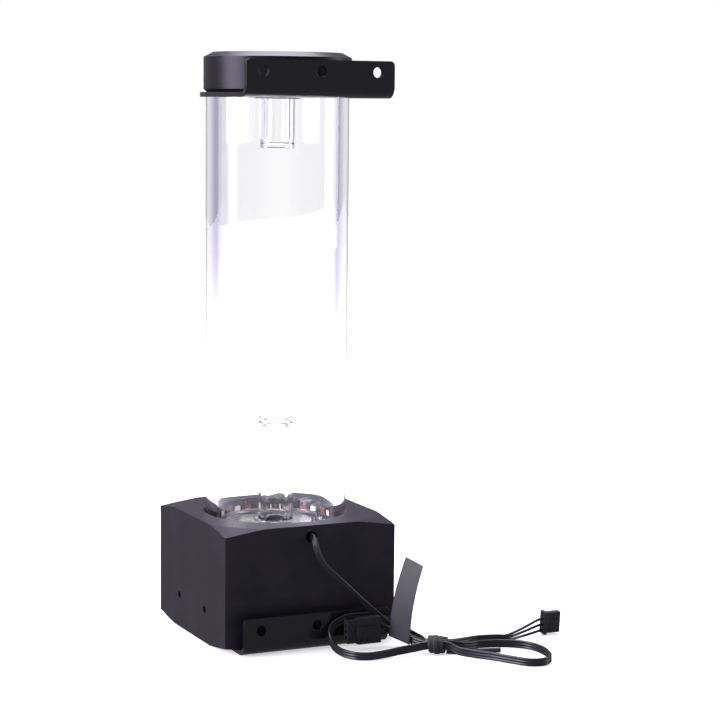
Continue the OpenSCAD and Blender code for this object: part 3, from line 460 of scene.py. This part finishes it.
def anodisedAluminium(name, spec, sideLines):
    material, tree, output, place = newMaterial(name)
    radius, upright = fromAxis(tree, place)
    normal = addNode(tree, "NewGeometry").outputs["Normal"]
    facing = addNode(tree, "SeparateXYZ", None, {"Vector": normal}).outputs["Z"]
    topMask = addNode(tree, "MapRange", {"From Min": 0.5, "From Max": 0.8},
                      {"Value": facing}).outputs["Result"]
    marks = {"Scale": 1 / (spec["step"] * mm), "Detail": 2.0}
    wobble = addNode(tree, "TexNoise", {**marks, "Roughness": 0.7}, {"W": radius},
                     noise_dimensions="1D").outputs["Fac"]
    lines = addNode(tree, "TexNoise", marks, {"W": upright}, noise_dimensions="1D").outputs["Fac"]
    fine = grain(tree, place, spec["blast"], 2.0)
    cloud = grain(tree, place, spec["cloud"], 2.0)
    sides = addNode(tree, "Mix", {"Factor": sideLines}, {"A": fine, "B": lines}).outputs["Result"]
    height = addNode(tree, "Mix", None, {"Factor": topMask, "A": sides, "B": wobble}).outputs["Result"]
    half = addNode(tree, "Math", {1: 0.5}, {0: height}, operation="MULTIPLY").outputs["Value"]
    shade = addNode(tree, "Math", {1: 0.5}, {0: cloud, 2: half}, operation="MULTIPLY_ADD").outputs["Value"]
    share = addNode(tree, "MapRange", {"From Min": 0.35, "From Max": 0.65},
                    {"Value": shade}).outputs["Result"]
    tone = addNode(tree, "Mix", {6: hexColor(spec["dark"]), 7: hexColor(spec["light"])}, {0: share},
                   data_type="RGBA").outputs[2]
    smooth, dull = spec["rough"]
    rough = addNode(tree, "MapRange", {**noiseRange, "To Min": smooth, "To Max": dull}, {"Value": height})
    edge = addNode(tree, "Bevel", {"Radius": spec["edge"] * mm}, samples=4).outputs["Normal"]
    bump = addNode(tree, "Bump", {"Strength": 1.0, "Distance": spec["depth"] * mm},
                   {"Height": height, "Normal": edge}).outputs["Normal"]
    shader = addNode(tree, "BsdfPrincipled",
                     {"Metallic": spec["metal"], "IOR": plasticIor, "Specular IOR Level": spec["specular"]},
                     {"Base Color": tone, "Roughness": rough.outputs["Result"], "Normal": bump})
    tree.links.new(shader.outputs["BSDF"], output.inputs["Surface"])
    return material


# cast acrylic, polished: clear, with a faint lilac-grey cast through its thickness
acrylic = {"tint": "#e9e5f5", "density": 9.0, "rough": 0.01, "ior": 1.49, "cloud": 9, "bump": 0.004,
           "shadow": "#f0f0f4"}


def clearAcrylic(name, spec):
    material, tree, output, place = newMaterial(name)
    if "turned" in spec:  # fine rings from the lathe, which catch the light as arcs
        radius = fromAxis(tree, place)[0]
        fac = addNode(tree, "TexNoise", {"Scale": 1 / (spec["turned"] * mm), "Detail": 1.0}, {"W": radius},
                      noise_dimensions="1D").outputs["Fac"]
    else:
        fac = grain(tree, place, spec["cloud"], 2.0)
    bump = addNode(tree, "Bump", {"Strength": 1.0, "Distance": spec["bump"] * mm}, {"Height": fac})
    glass = addNode(tree, "BsdfPrincipled",
                    {"Base Color": (1, 1, 1, 1), "Transmission Weight": 1.0, "IOR": spec["ior"],
                     "Roughness": spec["rough"]}, {"Normal": bump.outputs["Normal"]})
    clear = addNode(tree, "BsdfTransparent", {"Color": hexColor(spec["shadow"])})
    rays = addNode(tree, "LightPath")
    mix = addNode(tree, "MixShader", None, {0: rays.outputs["Is Shadow Ray"], 1: glass.outputs["BSDF"],
                                            2: clear.outputs["BSDF"]})
    tree.links.new(mix.outputs["Shader"], output.inputs["Surface"])
    dense = addNode(tree, "VolumeAbsorption", {"Color": hexColor(spec["tint"]), "Density": spec["density"]})
    tree.links.new(dense.outputs["Volume"], output.inputs["Volume"])
    return material


baseMetal = anodisedAluminium("anodisedAluminiumBase", anodised, 0.0)
capMetal = anodisedAluminium("anodisedAluminiumCap", {**anodised, "dark": "#1d1b21", "light": "#26242b",
                                                      "rough": (0.3, 0.4)}, 1.0)
tubeAcrylic = clearAcrylic("castAcrylic", acrylic)
floorAcrylic = clearAcrylic("turnedAcrylic", {**acrylic, "rough": 0.08, "turned": 1.6, "bump": 0.12})
dress = {
    "base_block": baseMetal, "cap": capMetal, "fill_plug": capMetal,
    "reservoir_tube": tubeAcrylic, "riser_tube": tubeAcrylic, "drop_tube": tubeAcrylic,
    "floor_plate": floorAcrylic,
    "floor_seal": "nitrileMoulded", "tube_seal_lower": "nitrileMoulded", "tube_seal_upper": "nitrileMoulded",
    "fill_plug_seal": "nitrileMoulded", "pump_seal": "nitrileMoulded", "led_strip": "stripFilm",
    "led_packages": "packageResin", "led_pads": "bareCopper", "led_lead": "cableVinyl",
    "upper_bracket": "powderCoatBlack", "lower_bracket": "powderCoatBlack",
    "lower_bracket_screws": "zincSteel", "pump_screws": "zincSteel", "pump_housing": "glassNylonMoulded",
    "pump_cover": "castAluminium", "pump_board": "boardLacquer", "stator_core": "laminatedSteel",
    "stator_coils": "enamelCopper", "bearing_ball": "zirconiaPolished", "bearing_cup": "glassNylonMoulded",
    "rotor_magnet": "ferritePressed", "impeller": "glassNylonMoulded", "plug_housing": "nylonMoulded",
    "plug_contacts": "tinnedBronze", "socket_housing": "nylonMoulded", "socket_contacts": "tinnedBronze"}


def paint(piece, material):
    material = finish(material) if isinstance(material, str) else material
    piece.data.materials.clear()
    piece.data.materials.append(material)


for name, material in dress.items():
    paint(nodes[name], material)
for piece, node, slotName, material in (
        (lightCable, "led_cable", "cable_black", "cableVinyl"),
        (branchCable, "branch_cable", "cable_black", "cableVinyl"),
        (plugWires, "plug_wires", "cable_black", "cableVinyl"),
        (socketWires, "socket_wires", "cable_black", "cableVinyl"),
        (cableTie, "cable_tie", "tie_black", "tieRubber"),
        (flagLabel, "cable_tag", "tag_black", "labelVinyl")):
    paint(piece, material)
    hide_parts(node)
    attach(piece, "root")

# stage and light: a white wall ahead, and to its sides a lilac grey, which draws the clear tubes' edges
dusk = {"wallSide": (0.903, -0.43, 0), "starts": 0.24, "full": 0.7, "grey": "#b4b0c8", "strength": 0.9}


def duskShare(tree, direction):  # 0 ahead of the wall, 1 well to its sides
    toSide = addNode(tree, "VectorMath", {1: dusk["wallSide"]}, {0: direction},
                     operation="DOT_PRODUCT").outputs["Value"]
    off = addNode(tree, "Math", None, {0: toSide}, operation="ABSOLUTE").outputs["Value"]
    limits = {"From Min": dusk["starts"], "From Max": dusk["full"]}
    return addNode(tree, "MapRange", limits, {"Value": off}).outputs["Result"]


def rayKinds(tree):  # 1 where the camera sees straight or through the clear pieces, and 1 in reflections
    seen = addNode(tree, "LightPath")
    direct = {0: seen.outputs["Is Camera Ray"], 1: seen.outputs["Is Transmission Ray"]}
    clear = addNode(tree, "Math", None, direct, operation="MAXIMUM").outputs["Value"]
    return clear, seen.outputs["Is Glossy Ray"]


# the paper glows more with distance from the part, in metres, and less in reflections; the weaker glow near
# the part is painted shade, a grey pool around it
paper = {"size": 6, "level": -0.0002, "blobs": 300, "dark": "#dcdae0", "light": "#e2e0e6", "near": 0.12,
         "far": 0.6, "shadedGlowNear": 0.55, "glowFar": 1.0, "mirrored": "#f2f1f5", "mirroredGlow": 0.3}


def addFloor(spec):
    deselect()
    bpy.ops.mesh.primitive_plane_add(size=spec["size"], location=(0, 0, spec["level"]))
    floor = bpy.context.object
    floor.name = "floorSheet"
    material, tree, output, place = newMaterial("paperSweep")
    cloud = grain(tree, place, spec["blobs"], 1.0)
    tone = addNode(tree, "Mix", {6: hexColor(spec["dark"]), 7: hexColor(spec["light"])}, {0: cloud},
                   data_type="RGBA").outputs[2]
    sheet = addNode(tree, "BsdfDiffuse", None, {"Color": tone}).outputs["BSDF"]
    away = addNode(tree, "VectorMath", None, {0: place}, operation="LENGTH").outputs["Value"]
    # painted shade: the glow drops near the part, so the paper greys around it
    lift = addNode(tree, "MapRange", {"From Min": spec["near"], "From Max": spec["far"],
                                      "To Min": spec["shadedGlowNear"], "To Max": spec["glowFar"]},
                                      {"Value": away})
    share = duskShare(tree, addNode(tree, "NewGeometry").outputs["Incoming"])
    glowTone = addNode(tree, "Mix", {6: (1, 1, 1, 1), 7: hexColor(dusk["grey"])}, {0: share},
                       data_type="RGBA").outputs[2]
    glow = addNode(tree, "Emission", None, {"Color": glowTone, "Strength": lift.outputs["Result"]})
    both = addNode(tree, "AddShader", None, {0: sheet, 1: glow.outputs["Emission"]})
    dim = addNode(tree, "Emission", {"Color": hexColor(spec["mirrored"]), "Strength": spec["mirroredGlow"]})
    clear, glossyRay = rayKinds(tree)
    glossy = addNode(tree, "MixShader", None, {0: glossyRay, 1: sheet, 2: dim.outputs["Emission"]})
    mix = addNode(tree, "MixShader", None, {0: clear, 1: glossy.outputs["Shader"],
                                            2: both.outputs["Shader"]})
    tree.links.new(mix.outputs["Shader"], output.inputs["Surface"])
    floor.data.materials.append(material)


def addWorld():
    world = bpy.data.worlds.new("studio")
    bpy.context.scene.world = world
    world.use_nodes = True
    tree = world.node_tree
    tree.nodes.clear()
    output = addNode(tree, "OutputWorld")
    clear = rayKinds(tree)[0]
    white = addNode(tree, "Background", {"Color": (1, 1, 1, 1), "Strength": 1.0}).outputs["Background"]
    grey = addNode(tree, "Background", {"Color": hexColor(dusk["grey"]), "Strength": dusk["strength"]})
    share = duskShare(tree, addNode(tree, "TexCoord").outputs["Generated"])
    wall = addNode(tree, "MixShader", None, {0: share, 1: white, 2: grey.outputs["Background"]})
    room = addNode(tree, "Background", {"Color": hexColor("#e9e7f0"),
                                        "Strength": 0.35}).outputs["Background"]
    mix = addNode(tree, "MixShader", None, {0: clear, 1: room, 2: wall.outputs["Shader"]})
    tree.links.new(mix.outputs["Shader"], output.inputs["Surface"])


def addLamp(name, place, target, size, power, tint="#ffffff"):
    data = bpy.data.lights.new(name, "AREA")
    data.shape, data.size, data.size_y = "RECTANGLE", size[0], size[1]
    data.energy, data.color = power, hexColor(tint)[:3]
    lamp = bpy.data.objects.new(name, data)
    bpy.context.collection.objects.link(lamp)
    lamp.location = place
    lamp.rotation_mode = "QUATERNION"
    lamp.rotation_quaternion = (Vector(target) - Vector(place)).to_track_quat("-Z", "Y")


addFloor(paper)
addWorld()
addLamp("leftBox", (-1.3, 0.1, 0.6), (0, 0, 0.1), (0.9, 0.9), 34, "#f3eeff")
addLamp("topBox", (0.1, 0.5, 1.3), (0, 0, 0.05), (1.0, 0.8), 27, "#f6f2ff")
addLamp("rightBox", (1.2, -0.2, 0.5), (0, 0, 0.1), (0.5, 0.9), 5)
bpy.context.scene.view_settings.view_transform = "Standard"
print("stage and lamps set")
